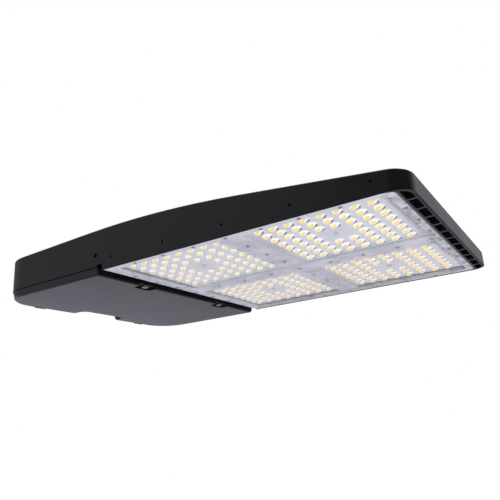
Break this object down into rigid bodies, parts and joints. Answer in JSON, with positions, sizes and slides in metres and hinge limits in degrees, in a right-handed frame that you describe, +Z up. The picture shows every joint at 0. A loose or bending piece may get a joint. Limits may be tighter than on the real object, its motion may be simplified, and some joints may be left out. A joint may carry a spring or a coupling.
{
  "type": "sports court light",
  "caption": "Slim arched LED area light with square lens modules under a finned black housing, a front vent grille and a hinged driver cover at the arm end.",
  "frame": {"origin": "middle of the two arm bolts, on the flat rear mounting face", "axes": "+X from the rear mounting face to the front vents, +Y across the light, +Z up, away from the lenses"},
  "size_m": [0.5248, 0.322, 0.0519],
  "materials": {
    "housing_coat": "black satin powder coat on die-cast aluminium",
    "cover_coat": "black satin powder coat on die-cast aluminium",
    "gasket_rubber": "matt silicone rubber",
    "lens_seal": "pale silicone rubber",
    "steel": "stainless steel",
    "captive_steel": "stainless steel",
    "nylon": "black nylon",
    "clear_lens": "clear moulded polycarbonate",
    "white_board": "white solder mask on an aluminium board",
    "phosphor": "yellow phosphor",
    "driver_case": "plain aluminium",
    "surge_case": "black moulded plastic",
    "terminal_plastic": "pale moulded plastic"
  },
  "bodies": {
    "housing": {"housing": "housing_coat", "cover_gasket": "gasket_rubber", "hinge_pin_near": "steel", "hinge_pin_far": "steel", "lens_plate": "clear_lens", "lens_gasket": "lens_seal", "led_board_rear_near": "white_board", "led_board_rear_far": "white_board", "led_board_front_near": "white_board", "led_board_front_far": "white_board", "led_chips_rear_near": "phosphor", "led_chips_rear_far": "phosphor", "led_chips_front_near": "phosphor", "led_chips_front_far": "phosphor", "board_screws": "steel", "led_driver": "driver_case", "driver_screws": "steel", "surge_protector": "surge_case", "surge_screws": "steel", "terminal_block": "terminal_plastic", "terminal_screw": "steel", "ground_screw": "steel", "wire_grommet": "gasket_rubber"},
    "driver_cover": {"driver_cover": "cover_coat"},
    "captive_screw_near": {"captive_screw_near": "captive_steel", "screw_washer_near": "nylon"},
    "captive_screw_far": {"captive_screw_far": "captive_steel", "screw_washer_far": "nylon"}
  },
  "joints": [
    {"name": "cover_hinge", "type": "hinge", "parent": "housing", "child": "driver_cover", "pos_m": [0, 0, -0.0235], "axis": [0, 1, 0], "range_deg": [0, 90]},
    {"name": "captive_screw_near_slide", "type": "slide", "parent": "driver_cover", "child": "captive_screw_near", "axis": [0, 0, -1], "range_m": [0, 0.0095]},
    {"name": "captive_screw_far_slide", "type": "slide", "parent": "driver_cover", "child": "captive_screw_far", "axis": [0, 0, -1], "range_m": [0, 0.0095]}
  ]
}
